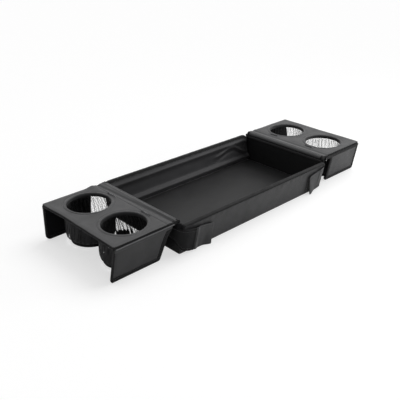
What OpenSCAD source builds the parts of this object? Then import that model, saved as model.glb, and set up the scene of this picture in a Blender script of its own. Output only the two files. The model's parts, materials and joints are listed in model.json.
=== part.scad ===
// Snack tray that spans a wagon: a cloth tray with two cup wings, in millimetres.
// The origin is the centre of the tray's underside, +X runs to the right wing,
// +Y to the far side and +Z up. Cloth is drawn as thin plates over stiff boards.

/* [Tray] */
// Length of the tray between the inner faces of its end walls
tray_l = 410; // [360:5:460]
// Depth of the tray across the outer bottom edges of its long walls
tray_d = 214; // [200:2:220]
// Height of the end walls and of the wings' upper faces
top_z = 72; // [68:1:84]
// Height of the long walls, up to the top of their binding
side_h = 63; // [50:1:64]
// Outward lean of the long walls from upright, in degrees
side_lean = 10; // [4:1:12]
// Radius of the long walls' upper corners
side_corner_r = 12; // [6:1:20]

/* [Cloth and boards] */
// Thickness of one layer of cover cloth
cloth_t = 1; // [0.8:0.1:1.4]
// Thickness of the padded lining inside the long walls
lining_t = 2; // [1.5:0.5:3]
// Thickness of the stiff boards in the floor and the walls
board_t = 3; // [2:0.5:4]
// Thickness of the thin boards in the hanging flaps
flap_board_t = 1.6; // [1:0.2:2.4]
// Thickness of the woven binding tape
tape_t = 0.8; // [0.6:0.1:1.2]
// Width of the woven binding tape on each face
tape_w = 8; // [6:1:10]

/* [Wings] */
// Length of a wing, from the tray's end wall to its outer edge
wing_l = 139; // [132:1:160]
// Depth of a wing, front to back
wing_d = 216; // [214:2:232]
// Width of the raised strip that hinges each wing to its end wall
strip_w = 12; // [10:1:14]
// Thickness of a wing with its covers
wing_t = 6; // [5:0.5:8]
// Radius of the wings' outer corners
wing_corner_r = 5; // [3:1:10]

/* [Cups] */
// Diameter of a cup hole inside its ring
hole_d = 80; // [72:1:82]
// Distance of the cup holes from the end wall's inner face
hole_out = 77.5; // [75:0.5:80]
// Distance of each cup hole from the middle line
hole_y = 52.5; // [48:0.5:54]
// Diameter of a cup at its base
base_d = 74; // [66:1:76]
// Thickness of the net wall
net_t = 1.2; // [1:0.1:1.6]
// Height of the hem band round a cup's base
hem_h = 6; // [4:1:10]
// Gap between the cups' bases and the surface
base_lift = 1; // [0.5:0.5:3]

/* [Flaps] */
// Length of a flap, from its seam down to its lower edge
flap_drop = 64.5; // [50:0.5:65]
// Clear width of the slot between an end wall and the flaps
slot_w = 39; // [34:1:42]
// Radius of the slot's upper corner in a flap
slot_r = 26; // [16:1:26]
// How far each flap hangs in, as a share of the room before its cup
flap_set = [0.8, 0.5, 1, 0.85]; // [0.2:0.05:1]

/* [Corner tabs] */
// Height of a corner tab
tab_h = 44; // [34:1:46]
// Reach of the left corner tabs along the long walls
tab_left = 75; // [50:1:90]
// Reach of the right corner tabs along the long walls
tab_right = 47; // [40:1:90]
// Thickness of a corner tab
tab_t = 1.5; // [1:0.1:2]
// Thickness of the loop patch under a tab
patch_t = 0.9; // [0.6:0.1:1.2]
// Length of a tab's sewn root on the end wall
root_l = 26; // [18:1:36]

/* [Hidden] */
// Running gap between pieces that move past each other
gap = 0.3;
// Direction of the left and right sides, and of the near and far sides
left = -1;
right = 1;
near = -1;
far = 1;
// Facets of true round holes and rings
$fn = 96;

// The floor: cloth, board and liner
floor_z = 2 * cloth_t + board_t;
// The long walls turn on their inner lower edge, just over the liner
hinge_z = floor_z + 0.5;
side_t = lining_t + board_t + cloth_t;
// Depth from the seam down to the wall's lower edge, measured along the wall
side_below = (hinge_z - 0.2 - side_t * sin(side_lean)) / cos(side_lean);
side_above = (side_h - hinge_z) / cos(side_lean) - tape_t;
hinge_y = tray_d / 2 - side_t * cos(side_lean) + side_below * sin(side_lean);
floor_y = hinge_y - side_below * sin(side_lean) - 0.5;
// Half length of a long wall, clear of both end walls
side_x = tray_l / 2 - tape_t - 2 * gap;

// The end walls and the strip on top of them
end_t = board_t + 3 * cloth_t;
end_x = tray_l / 2 + end_t;
end_z = top_z - wing_t;
seam_x = tray_l / 2 + strip_w;
board_inset = 1.5 * cloth_t;

// The wings
wing_x0 = seam_x + gap;
wing_x1 = tray_l / 2 + wing_l;
wing_z0 = top_z - wing_t;
wing_board_z0 = wing_z0 + cloth_t;
wing_board_z1 = top_z - 1.5 * cloth_t;
hole_x = tray_l / 2 + hole_out;
hole_r = hole_d / 2;
ring_t = 1.5;
ring_lip = 4;
ring_up = 0.6;

// The cups
base_r = base_d / 2;
base_t = 2.2;
hem_z = base_lift + base_t + hem_h;

// The flaps turn just under the lower outer edge of the wing. Their seam hangs low
// enough for the upper inner corner of a leaning flap to stay clear of the wing.
flap_t = flap_board_t + 2 * cloth_t;
flap_y = wing_d / 2;
cup_room = flap_y - hole_y - base_r - flap_t - tape_t - 2;
lean_most = asin(cup_room / flap_drop);
flap_z = wing_z0 - gap - (flap_t + tape_t) * sin(lean_most);
flap_x0 = end_x + slot_w;
flap_x1 = wing_x1 - 1;
flap_flare = 3;
flap_foot_r = 8;
flap_toe_r = 5;
slot_tip_angle = 70;

// The corner tabs lie clear of the patches, and of the wall's lower edge as it turns
tab_n0 = max(side_t + patch_t, norm([side_t, side_below])) + gap;
tab_v0 = -side_below + 1;
tab_z0 = 4;
tab_x1 = end_x + gap + tab_t;
tab_pivot_y = tray_d / 2 - 4;

// Cloth colours
cover_black = [0.16, 0.16, 0.17];
vinyl_black = [0.10, 0.10, 0.11];
tape_black = [0.06, 0.06, 0.065];
net_black = [0.22, 0.22, 0.23];
board_grey = [0.45, 0.46, 0.48];
loop_black = [0.05, 0.05, 0.05];

// Points of an arc about a centre, from one angle to another
function arc(cx, cy, r, a0, a1, n = 8) =
    [for (i = [0:n]) [cx + r * cos(a0 + (a1 - a0) * i / n), cy + r * sin(a0 + (a1 - a0) * i / n)]];

// Outline of a long wall in its own plane, drawn in by g at the top and the ends
function side_outline(g) = concat(
    [[-(side_x - g), -side_below], [side_x - g, -side_below]],
    arc(side_x - side_corner_r, side_above - side_corner_r, side_corner_r - g, 0, 90),
    arc(-(side_x - side_corner_r), side_above - side_corner_r, side_corner_r - g, 90, 180)
);

// Outline of a wing seen from above, drawn in by g on its three free edges
function wing_outline(g) = concat(
    [[wing_x0, -(wing_d / 2 - g)]],
    arc(wing_x1 - wing_corner_r, -(wing_d / 2 - wing_corner_r), wing_corner_r - g, -90, 0),
    arc(wing_x1 - wing_corner_r, wing_d / 2 - wing_corner_r, wing_corner_r - g, 0, 90),
    [[wing_x0, wing_d / 2 - g]]
);

// Outline of a flap hanging from its seam, drawn in by g on its three free edges.
// The slot side is straight below and swings in under the wing on a large radius.
function flap_outline(g) = concat(
    [[flap_x1 - g, 0]],
    slot_tip_z(g) < 0 ? [[flap_x0 - slot_r + (slot_r + g) * cos(slot_start(g)), 0]] : [],
    arc(flap_x0 - slot_r, -slot_r, slot_r + g, slot_start(g), 0, 12),
    arc(flap_x0 + g + inner_r(flap_toe_r, g), -flap_drop + g + inner_r(flap_toe_r, g),
        inner_r(flap_toe_r, g), 180, 270, 6),
    arc(flap_x1 + flap_flare - g - inner_r(flap_foot_r, g), -flap_drop + g + inner_r(flap_foot_r, g),
        inner_r(flap_foot_r, g), 270, 360, 6)
);

// Radius of a corner once its outline is drawn in by g, never less than 1
function inner_r(r, g) = max(r - g, 1);

// Angle at which the slot's arc ends: at a blunt tip, or where it meets the seam
function slot_start(g) = min(
    acos((slot_r * cos(slot_tip_angle) + g) / (slot_r + g)),
    asin(slot_r / (slot_r + g)) - 0.001
);

// Height of the arc's upper end against the seam
function slot_tip_z(g) = (slot_r + g) * sin(slot_start(g)) - slot_r;

// Lean of a flap: near left, far left, near right, far right
function flap_index(sx, sy) = (sx == right ? 2 : 0) + (sy == far ? 1 : 0);
function flap_lean(sx, sy) = asin(sin(lean_most) * flap_set[flap_index(sx, sy)]);

function tab_reach(sx) = sx == left ? tab_left : tab_right;

// Everything is drawn for the right and far quarter, then mirrored into its place
module quarter(sx, sy) {
    mirror([sx == left ? 1 : 0, 0, 0])
        mirror([0, sy == near ? 1 : 0, 0])
            children();
}

// A flat outline stood upright, between two depths
module upright(n0, n1) {
    translate([0, n1, 0])
        rotate([90, 0, 0])
            linear_extrude(n1 - n0)
                children();
}

// The far wall's own frame: X along it, Y out of it and Z up along it
module on_side() {
    translate([0, hinge_y, hinge_z])
        rotate([-side_lean, 0, 0])
            children();
}

// A far flap's own frame: X along its seam, Y out of it, hanging along -Z
module on_flap(sx, sy) {
    translate([0, flap_y, flap_z])
        rotate([-flap_lean(sx, sy), 0, 0])
            children();
}

module floor_plate(z0, z1, inset) {
    translate([-tray_l / 2 + inset, -floor_y + inset, z0])
        cube([tray_l - 2 * inset, 2 * (floor_y - inset), z1 - z0]);
}

module floor_underside() {
    color(cover_black)
        floor_plate(0, cloth_t, 0);
}

module floor_board() {
    color(board_grey)
        floor_plate(cloth_t, cloth_t + board_t, board_inset);
}

module floor_liner() {
    color(vinyl_black)
        difference() {
            floor_plate(cloth_t, floor_z, 0);
            floor_plate(0, cloth_t + board_t, board_inset);
        }
}

// The board stands in a sleeve that is open at the top, under the strip
module end_board_block() {
    translate([tray_l / 2 + board_inset, -tray_d / 2 + board_inset, board_inset])
        cube([board_t, tray_d - 2 * board_inset, end_z - board_inset]);
}

module end_board(sx) {
    color(board_grey)
        quarter(sx, far)
            end_board_block();
}

module end_cover(sx) {
    color(cover_black)
        quarter(sx, far)
            difference() {
                translate([tray_l / 2, -tray_d / 2, 0])
                    cube([end_t, tray_d, end_z]);
                end_board_block();
            }
}

module end_strip(sx) {
    round_r = 2;
    section = concat(
        [[tray_l / 2, end_z], [seam_x, end_z]],
        arc(seam_x - round_r, top_z - round_r, round_r, 0, 90, 6),
        arc(tray_l / 2 + round_r, top_z - round_r, round_r, 90, 180, 6)
    );
    color(cover_black)
        quarter(sx, far)
            translate([0, wing_d / 2, 0])
                rotate([90, 0, 0])
                    linear_extrude(wing_d)
                        polygon(section);
}

module side_board(sy) {
    color(board_grey)
        quarter(right, sy)
            on_side()
                upright(lining_t, lining_t + board_t)
                    polygon(side_outline(0));
}

module side_cover(sy) {
    color(cover_black)
        quarter(right, sy)
            on_side()
                upright(lining_t + board_t, side_t)
                    polygon(side_outline(0));
}

module side_lining(sy) {
    color(vinyl_black)
        quarter(right, sy)
            on_side()
                upright(0, lining_t)
                    polygon(side_outline(0));
}

// Tape folded over the wall's top and down its two ends
module side_binding(sy) {
    color(tape_black)
        quarter(right, sy)
            on_side()
                difference() {
                    upright(-tape_t, side_t + tape_t)
                        difference() {
                            polygon(side_outline(-tape_t));
                            polygon(side_outline(tape_w));
                        }
                    upright(0, side_t)
                        polygon(side_outline(0));
                    translate([-tray_l, -side_t, -2 * side_below])
                        cube([2 * tray_l, 3 * side_t, 3 * side_below]);
                }
}

// One patch of loop tape at each end of a long wall, under the tabs
module loop_patches(sy) {
    patch_x1 = side_x - tape_w - 2;
    patch_h = tab_h - 8;
    color(loop_black)
        for (sx = [left, right])
            quarter(sx, sy)
                on_side()
                    translate([side_x - tab_reach(sx) + 6, side_t, 2])
                        cube([patch_x1 - side_x + tab_reach(sx) - 6, patch_t, patch_h]);
}

module tab_roots(sx) {
    color(cover_black)
        for (sy = [near, far])
            quarter(sx, sy)
                translate([end_x, tab_pivot_y + 1 - root_l, tab_z0])
                    cube([tab_t, root_l - tab_t - 1, tab_h - 2]);
}

// Free part of a tab: it turns the corner and lies on the long wall's patch.
// Its lower edge rises to the corner, and its fold leans as the wall does.
module tab(sx, sy) {
    tip_r = 5;
    heel = 8;
    x0 = side_x - tab_reach(sx);
    v1 = tab_v0 + tab_h;
    face = concat(
        arc(x0 + tip_r, tab_v0 + tip_r, tip_r, 180, 270, 4),
        [[side_x - 2 * heel, tab_v0], [side_x, tab_v0 + heel]],
        [[tab_x1 + 1, tab_v0 + heel], [tab_x1 + 1, v1]],
        arc(x0 + tip_r, v1 - tip_r, tip_r, 90, 180, 4)
    );
    color(cover_black)
        quarter(sx, sy)
            difference() {
                on_side()
                    intersection() {
                        upright(-tray_d, tray_d)
                            polygon(face);
                        translate([0, 0, tab_v0 - 1])
                            linear_extrude(tab_h + 2)
                                tab_wrap(x0 - 1);
                    }
                translate([0, tab_pivot_y + gap - tray_d, 0])
                    cube([tray_l, tray_d, top_z]);
            }
}

// Section of a tab across its height, round the corner of the tray
module tab_wrap(x0) {
    bend_in = 2;
    bend_out = bend_in + tab_t;
    bend_x = tab_x1 - bend_out;
    bend_n = tab_n0 - bend_in;
    polygon(concat(
        [[x0, tab_n0], [x0, tab_n0 + tab_t]],
        arc(bend_x, bend_n, bend_out, 90, 0),
        [[tab_x1, -tray_d / 2], [tab_x1 - tab_t, -tray_d / 2]],
        arc(bend_x, bend_n, bend_in, 0, 90)
    ));
}

module cup_holes(r) {
    for (sy = [near, far])
        translate([hole_x, sy * hole_y, wing_z0 - 1])
            cylinder(h = wing_t + 2, r = r);
}

module wing_plate(z0, z1, inset) {
    difference() {
        translate([0, 0, z0])
            linear_extrude(z1 - z0)
                polygon(wing_outline(inset));
        cup_holes(hole_r + ring_t);
    }
}

module wing_board(sx) {
    color(board_grey)
        quarter(sx, far)
            wing_plate(wing_board_z0, wing_board_z1, tape_t);
}

module wing_top(sx) {
    color(cover_black)
        quarter(sx, far)
            wing_plate(wing_board_z1, top_z, tape_t);
}

module wing_underside(sx) {
    color(cover_black)
        quarter(sx, far)
            wing_plate(wing_z0, wing_board_z0, tape_t);
}

// Tape stood on edge round the three free sides of a wing
module wing_edge(sx) {
    color(tape_black)
        quarter(sx, far)
            translate([0, 0, wing_z0])
                linear_extrude(wing_t - 0.5)
                    difference() {
                        polygon(wing_outline(0));
                        polygon(wing_outline(tape_t));
                    }
}

// Bound ring sewn into a cup hole, with a flat lip on the wing
module hole_ring(sx, sy) {
    soft = 0.4;
    color(tape_black)
        quarter(sx, sy)
            translate([hole_x, hole_y, 0])
                rotate_extrude()
                    polygon([
                        [hole_r, wing_z0],
                        [hole_r + ring_t, wing_z0],
                        [hole_r + ring_t, top_z],
                        [hole_r + ring_lip, top_z],
                        [hole_r + ring_lip - soft, top_z + ring_up],
                        [hole_r + soft, top_z + ring_up],
                        [hole_r, top_z + ring_up - soft]
                    ]);
}

// Net wall of a cup, drawn in from the ring down to the hem of its base
module cup_net(sx, sy) {
    color(net_black)
        quarter(sx, sy)
            translate([hole_x, hole_y, 0])
                rotate_extrude()
                    polygon([
                        [hole_r, wing_z0],
                        [base_r - net_t, hem_z],
                        [base_r, hem_z],
                        [hole_r + net_t, wing_z0]
                    ]);
}

// Solid base of a cup, with the hem band that the net is sewn to
module cup_base(sx, sy) {
    color(tape_black)
        quarter(sx, sy)
            translate([hole_x, hole_y, 0])
                rotate_extrude()
                    polygon([
                        [0, base_lift],
                        [base_r - 1, base_lift],
                        [base_r, base_lift + 1],
                        [base_r, hem_z - gap],
                        [base_r - net_t, hem_z - gap],
                        [base_r - net_t, base_lift + base_t],
                        [0, base_lift + base_t]
                    ]);
}

module flap_board_block() {
    upright(-cloth_t - flap_board_t, -cloth_t)
        polygon(flap_outline(tape_w + 1));
}

module flap_board(sx, sy) {
    color(board_grey)
        quarter(sx, sy)
            on_flap(sx, sy)
                flap_board_block();
}

// Two faces of cloth over the board, open along the seam
module flap_cover(sx, sy) {
    color(cover_black)
        quarter(sx, sy)
            on_flap(sx, sy)
                difference() {
                    upright(-flap_t, 0)
                        polygon(flap_outline(tape_t));
                    flap_board_block();
                }
}

// Tape folded over the slot side, the lower edge and the outer edge of a flap
module flap_binding(sx, sy) {
    color(tape_black)
        quarter(sx, sy)
            on_flap(sx, sy)
                difference() {
                    upright(-flap_t - tape_t, tape_t)
                        difference() {
                            polygon(flap_outline(0));
                            polygon(flap_outline(tape_w));
                        }
                    upright(-flap_t, 0)
                        polygon(flap_outline(tape_t));
                }
}

floor_underside();
floor_board();
floor_liner();
end_board(left);  // left_end_board
end_cover(left);  // left_end_cover
end_strip(left);  // left_end_strip
end_board(right);  // right_end_board
end_cover(right);  // right_end_cover
end_strip(right);  // right_end_strip
side_board(near);  // near_wall_board
side_cover(near);  // near_wall_cover
side_lining(near);  // near_wall_lining
side_binding(near);  // near_wall_binding
side_board(far);  // far_wall_board
side_cover(far);  // far_wall_cover
side_lining(far);  // far_wall_lining
side_binding(far);  // far_wall_binding
loop_patches(near);  // near_wall_loop_patches
loop_patches(far);  // far_wall_loop_patches
tab_roots(left);  // left_tab_roots
tab_roots(right);  // right_tab_roots
tab(left, near);  // near_left_tab
tab(left, far);  // far_left_tab
tab(right, near);  // near_right_tab
tab(right, far);  // far_right_tab
wing_board(left);  // left_wing_board
wing_top(left);  // left_wing_top
wing_underside(left);  // left_wing_underside
wing_edge(left);  // left_wing_edge
wing_board(right);  // right_wing_board
wing_top(right);  // right_wing_top
wing_underside(right);  // right_wing_underside
wing_edge(right);  // right_wing_edge
hole_ring(left, near);  // near_left_hole_ring
hole_ring(left, far);  // far_left_hole_ring
hole_ring(right, near);  // near_right_hole_ring
hole_ring(right, far);  // far_right_hole_ring
cup_net(left, near);  // near_left_cup_net
cup_net(left, far);  // far_left_cup_net
cup_net(right, near);  // near_right_cup_net
cup_net(right, far);  // far_right_cup_net
cup_base(left, near);  // near_left_cup_base
cup_base(left, far);  // far_left_cup_base
cup_base(right, near);  // near_right_cup_base
cup_base(right, far);  // far_right_cup_base
flap_board(left, near);  // near_left_flap_board
flap_cover(left, near);  // near_left_flap_cover
flap_binding(left, near);  // near_left_flap_binding
flap_board(left, far);  // far_left_flap_board
flap_cover(left, far);  // far_left_flap_cover
flap_binding(left, far);  // far_left_flap_binding
flap_board(right, near);  // near_right_flap_board
flap_cover(right, near);  // near_right_flap_cover
flap_binding(right, near);  // near_right_flap_binding
flap_board(right, far);  // far_right_flap_board
flap_cover(right, far);  // far_right_flap_cover
flap_binding(right, far);  // far_right_flap_binding
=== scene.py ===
# %% [markdown]
# # A cloth snack tray for a wagon
#
# The real tray is sewn: stiff boards are slipped between layers of coated cloth, the rims are bound
# with woven tape, and each wing carries two net cups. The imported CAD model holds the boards, the joints
# and every size. This lesson dresses that model: each sewn piece becomes a curved surface worked out
# with numpy, in millimetres, and is set in the model's own frame.

# %% Load the fixed frame
import json
import math

import bpy
import numpy as np
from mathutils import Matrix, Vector


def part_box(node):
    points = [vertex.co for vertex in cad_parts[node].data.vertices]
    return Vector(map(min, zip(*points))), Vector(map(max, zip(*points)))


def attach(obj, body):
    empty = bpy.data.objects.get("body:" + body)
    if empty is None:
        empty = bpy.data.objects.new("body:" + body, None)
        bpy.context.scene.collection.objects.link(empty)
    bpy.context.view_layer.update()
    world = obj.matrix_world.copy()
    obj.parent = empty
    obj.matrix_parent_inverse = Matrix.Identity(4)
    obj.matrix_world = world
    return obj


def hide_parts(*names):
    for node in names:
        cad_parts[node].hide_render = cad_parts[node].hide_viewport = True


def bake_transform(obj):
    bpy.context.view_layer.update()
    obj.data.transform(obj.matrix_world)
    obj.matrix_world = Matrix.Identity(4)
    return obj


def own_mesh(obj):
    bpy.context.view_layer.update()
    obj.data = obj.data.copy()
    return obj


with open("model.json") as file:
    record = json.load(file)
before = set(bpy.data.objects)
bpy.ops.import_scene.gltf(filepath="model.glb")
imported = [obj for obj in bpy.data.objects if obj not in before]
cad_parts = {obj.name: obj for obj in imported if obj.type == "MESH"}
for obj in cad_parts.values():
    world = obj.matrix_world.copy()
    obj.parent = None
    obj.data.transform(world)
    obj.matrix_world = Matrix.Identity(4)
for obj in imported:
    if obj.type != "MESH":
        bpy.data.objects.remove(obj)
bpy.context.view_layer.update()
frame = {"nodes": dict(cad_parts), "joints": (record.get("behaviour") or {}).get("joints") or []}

# %% [markdown]
# ## The camera
#
# The photograph was taken from the left and above. A camera could be placed by eye, but straight edges
# give it away, so its place comes from the wings' corners: 43 degrees round to the left, 26 degrees up.

# %% Camera
camera = bpy.data.objects.new("camera", bpy.data.cameras.new("camera"))
bpy.context.scene.collection.objects.link(camera)
camera.data.lens = 53.26
camera.data.sensor_width = 36
camera.location = (-0.7963, -0.7848, 0.5568)
looks_at = Vector((-0.0288, 0.0267, 0))
camera.rotation_euler = (looks_at - camera.location).to_track_quat("-Z", "Y").to_euler()
bpy.context.scene.camera = camera
print("camera", round((looks_at - camera.location).length, 2), "m away")

# %% [markdown]
# ## Sizes from the frame
#
# A cloth piece has to follow the board inside it, also when a size changes. So no size is typed twice:
# the corners of the CAD nodes and the joints say where the walls, wings, holes and flaps are.


# %% Read boxes, points and leans
def span(node):
    """Lowest and highest corner of a CAD node, in millimetres."""
    low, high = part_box(node)
    return np.array(low) * 1000, np.array(high) * 1000


def points_of(node):
    """All the points of a CAD node, in millimetres."""
    mesh = frame["nodes"][node].data
    flat = np.empty(len(mesh.vertices) * 3)
    mesh.vertices.foreach_get("co", flat)
    return flat.reshape(-1, 3) * 1000


def lean_of(node):
    """Lean of a thin plate from upright: its normal is the direction in which its points spread least."""
    points = points_of(node)
    normal = np.linalg.svd(points - points.mean(0), full_matrices=False)[2][-1]
    return math.atan2(abs(normal[2]), abs(normal[1]))


left, right = -1, 1
near, far = -1, 1
sides = {left: "left", right: "right"}
edges = {near: "near", far: "far"}
quarters = {(sx, sy): f"{edges[sy]}_{sides[sx]}" for sx in sides for sy in edges}

joint_at = {j["name"]: np.array(j["pos_m"]) * 1000 for j in frame["joints"] if "pos_m" in j}
end_low, end_high = span("right_end_cover")
wing_low, wing_high = span("right_wing_edge")
ring_low, ring_high = span("far_right_hole_ring")
net_low, net_high = span("far_right_cup_net")
base_low, base_high = span("far_right_cup_base")
strip_high = span("right_end_strip")[1]
liner_high = span("floor_liner")[1]
top_z = strip_high[2]
hole_x, hole_y = (ring_low + ring_high)[:2] / 2
hole_r = (ring_high[0] - ring_low[0]) / 2 - 4
base_r = (base_high[0] - base_low[0]) / 2
print("wing", wing_low.round(1), wing_high.round(1), "hole", hole_x, hole_y, hole_r)

# %% [markdown]
# ## Leaning frames
#
# The long walls lean outwards and the flaps lean inwards. Each is drawn upright in its own frame, with
# x along it, n out of it and v up along it, and then turned into place. The near side mirrors the far
# side, so one sign is all that tells them apart.

# %% Frames of the walls and the flaps
hinge_y, hinge_z = joint_at["far_wall_fold"][1:]
wall_lean = lean_of("far_wall_board")
seam_z = joint_at["far_right_flap_swing"][2]
flap_lean = {key: lean_of(f"{quarter}_flap_board") for key, quarter in quarters.items()}


def place(*parts):
    """Arrays that share a shape, stacked into points (x, y, z) or into cloth coordinates (u, v)."""
    return np.stack(np.broadcast_arrays(*parts), -1).astype(float)


def on_wall(x, n, v, sy):
    """From a long wall's frame: out and up are turned by the wall's lean about its hinge."""
    c, s = math.cos(wall_lean), math.sin(wall_lean)
    return place(x, sy * (hinge_y + n * c + v * s), hinge_z - n * s + v * c)


def on_flap(x, n, v, sx, sy):
    """From a flap's frame: it hangs along -v from its seam and leans in by its own angle."""
    c, s = math.cos(flap_lean[sx, sy]), math.sin(flap_lean[sx, sy])
    return place(sx * x, sy * (wing_high[1] + n * c + v * s), seam_z - n * s + v * c)


def wall_frame(points):
    """The n and v of points on the far side, measured from the wall's hinge."""
    c, s = math.cos(wall_lean), math.sin(wall_lean)
    y, z = abs(points[:, 1]) - hinge_y, points[:, 2] - hinge_z
    return y * c - z * s, y * s + z * c


wall_n, wall_v = wall_frame(points_of("far_wall_cover"))
wall_x = points_of("far_wall_cover")[:, 0].max()
wall_t, wall_foot, wall_top = wall_n.max(), wall_v.min(), wall_v.max()
print("wall lean", round(math.degrees(wall_lean), 2), "flap leans",
      {quarters[key]: round(math.degrees(lean), 1) for key, lean in flap_lean.items()})

# %% [markdown]
# ## Small tools for curved surfaces
#
# Cloth has soft forms: a step that eases in and out, a roll like a bell curve and slow unevenness.
# Three short functions make all of them. They work on whole arrays, so no loop visits a point.


# %% Ease, hump and ripple
def ease(x, low, high):
    """0 below low and 1 above high, with 3t*t - 2t*t*t between them."""
    t = np.clip((x - low) / (high - low), 0, 1)
    return t * t * (3 - 2 * t)


def hump(x, centre, width):
    """A bell: e to minus the square of the distance from the centre, counted in widths."""
    return np.exp(-(((x - centre) / width) ** 2))


def ripple(a, b, pitch, seed, waves=6):
    """Slow unevenness from about -1 to 1: the mean of sine waves with seeded headings and phases."""
    draw = np.random.default_rng(seed)
    heading = draw.uniform(0, 2 * np.pi, waves)
    length = pitch * draw.uniform(0.7, 1.5, waves)
    phase = draw.uniform(0, 2 * np.pi, waves)
    a, b = np.broadcast_arrays(a, b)
    along = a[..., None] * np.cos(heading) + b[..., None] * np.sin(heading)
    return 1.6 * np.sin(2 * np.pi * along / length + phase).mean(-1)


print("ease half way", ease(0.5, 0, 1), "hump one width out", round(float(hump(1, 0, 1)), 3))


# %% Paths
def arc(cx, cy, r, start, stop, count):
    """Points round a centre, from one angle in degrees to another."""
    angle = np.radians(np.linspace(start, stop, count))
    return place(cx + r * np.cos(angle), cy + r * np.sin(angle))


def line(start, stop, count):
    """Evenly spaced points from start to stop."""
    start, stop = np.asarray(start, float), np.asarray(stop, float)
    return start + (stop - start) * np.linspace(0, 1, count)[:, None]


def run_of(path):
    """Distance walked along a path at each of its points."""
    steps = np.linalg.norm(np.diff(path, axis=0), axis=1)
    return np.concatenate([[0], np.cumsum(steps)])


def paced(path, count):
    """The same path with count evenly spaced points."""
    run = run_of(path)
    at = np.linspace(0, run[-1], count)
    return place(*(np.interp(at, run, path[:, k]) for k in range(path.shape[1])))


def unit(arrows):
    """Arrows scaled to a length of one."""
    return arrows / np.linalg.norm(arrows, axis=-1, keepdims=True)


# %% [markdown]
# ## From grids to a mesh
#
# A piece is one or more grids of points. Each grid brings cloth coordinates, the real distance along
# and across its weave, which become the UV map. Points that coincide are welded, which closes seams and
# poles. A closed shell shows which way it faces by the sign of its volume, and an open sheet is told.
# The photograph's tray isn't quite square: one corner of the left wing is pulled out, with all that
# hangs on it. That is done here, once for all pieces.

# %% Mesh maker
corner_pull = 3.5


def drawn_out(grid):
    """The left wing's far outer corner pulled outwards by a few millimetres."""
    pull = ease(-grid[..., 0], 285, 345) * ease(grid[..., 1], 35, 108)
    return grid - pull[..., None] * np.array([corner_pull, 0, 0])


def make_piece(name, grids, finish, rides, replaces=(), facing=None, thickness=0.0):
    """Welds grids into one mesh. Each grid is (points, cloth), of (nu, nv, 3) and (nu, nv, 2) or a
    stack of them. rides is a body the piece is attached to; given as two bodies and the ends of a
    blend instead, these are not used and the piece stays where it is. facing is the outward direction
    of an open sheet, and thickness grows it inwards."""
    points, cloth, corners, start = [], [], [], 0
    for grid, uv in grids:
        grid = drawn_out(grid.reshape(-1, *grid.shape[-3:]))
        uv = np.broadcast_to(uv, grid.shape[:-1] + (2,))
        index = start + np.arange(grid[..., 0].size).reshape(grid.shape[:-1])
        quads = [index[:, :-1, :-1], index[:, 1:, :-1], index[:, 1:, 1:], index[:, :-1, 1:]]
        corners.append(np.stack(quads, -1).reshape(-1, 4))
        points.append(grid.reshape(-1, 3))
        cloth.append(uv.reshape(-1, 2))
        start += index.size
    points, cloth, corners = (np.concatenate(rows) for rows in (points, cloth, corners))
    _, first, welded = np.unique(np.round(points, 3), axis=0, return_index=True, return_inverse=True)
    points, ids = points[first], welded.reshape(-1)[corners]
    a, b, c, d = (points[ids[:, k]] for k in range(4))
    if facing is None:
        outward = (a * np.cross(b, c)).sum() + (a * np.cross(c, d)).sum()
    else:
        outward = (np.cross(c - a, d - b) @ np.array(facing, float)).sum()
    if outward < 0:
        ids, corners = ids[:, ::-1], corners[:, ::-1]
    keep = ids != np.roll(ids, -1, axis=1)
    whole = keep.sum(1) > 2
    ids, corners, keep = ids[whole], corners[whole], keep[whole]
    mesh = bpy.data.meshes.new(name)
    mesh.vertices.add(len(points))
    mesh.vertices.foreach_set("co", (points / 1000).astype(np.float32).ravel())
    mesh.loops.add(int(keep.sum()))
    mesh.loops.foreach_set("vertex_index", ids[keep].astype(np.int32))
    mesh.polygons.add(len(ids))
    mesh.polygons.foreach_set("loop_start", (np.cumsum(keep.sum(1)) - keep.sum(1)).astype(np.int32))
    mesh.update(calc_edges=True)
    layer = mesh.uv_layers.new(name="cloth")
    layer.data.foreach_set("uv", (cloth[corners[keep]] / 1000).astype(np.float32).ravel())
    mesh.validate()
    mesh.polygons.foreach_set("use_smooth", np.ones(len(mesh.polygons), bool))
    mesh.set_sharp_from_angle(angle=math.radians(50))
    piece = bpy.data.objects.new(name, mesh)
    bpy.context.scene.collection.objects.link(piece)
    mesh.materials.append(finishes[finish])
    if thickness:
        solid = piece.modifiers.new("thickness", "SOLIDIFY")
        solid.thickness = thickness / 1000
        solid.offset = -1
        piece.modifiers.new("flat_shading", "WEIGHTED_NORMAL").keep_sharp = True
    if isinstance(rides, str):
        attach(piece, rides)
    else:
        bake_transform(piece)
    if replaces:
        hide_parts(*replaces)
    print(f"{name}: {len(points)} points, {len(ids)} faces, {finish}")
    return piece


# %% Closed ends and shells
def closed_ends(grid):
    """Adds a row at each end that gathers the section to its own middle."""
    ends = grid[..., :1, :, :], grid[..., -1:, :, :]
    first, last = (np.broadcast_to(row[..., :-1, :].mean(-2, keepdims=True), row.shape) for row in ends)
    return np.concatenate([first, grid, last], -3)


def shell(upper, lower, cloth):
    """Two facing grids and the four rims between them, as one closed skin."""
    rims = [(np.stack([a[row], b[row]], axis), np.stack([cloth[row]] * 2, axis)) for a, b, row, axis in (
        (lower, upper, 0, 0), (upper, lower, -1, 0),
        (lower, upper, np.s_[:, 0], 1), (upper, lower, np.s_[:, -1], 1))]
    return [(upper, cloth), (lower[::-1], cloth[::-1]), *rims]


# %% [markdown]
# ## Stitches
#
# A lockstitch shows as short threads with a needle hole between them. A texture could paint them, but
# real threads catch the light, so each is a small capsule of a few dozen faces, set along a seam.

# %% Thread along a seam
stitch_pitch, stitch_length = 3.4, 2.3


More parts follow.
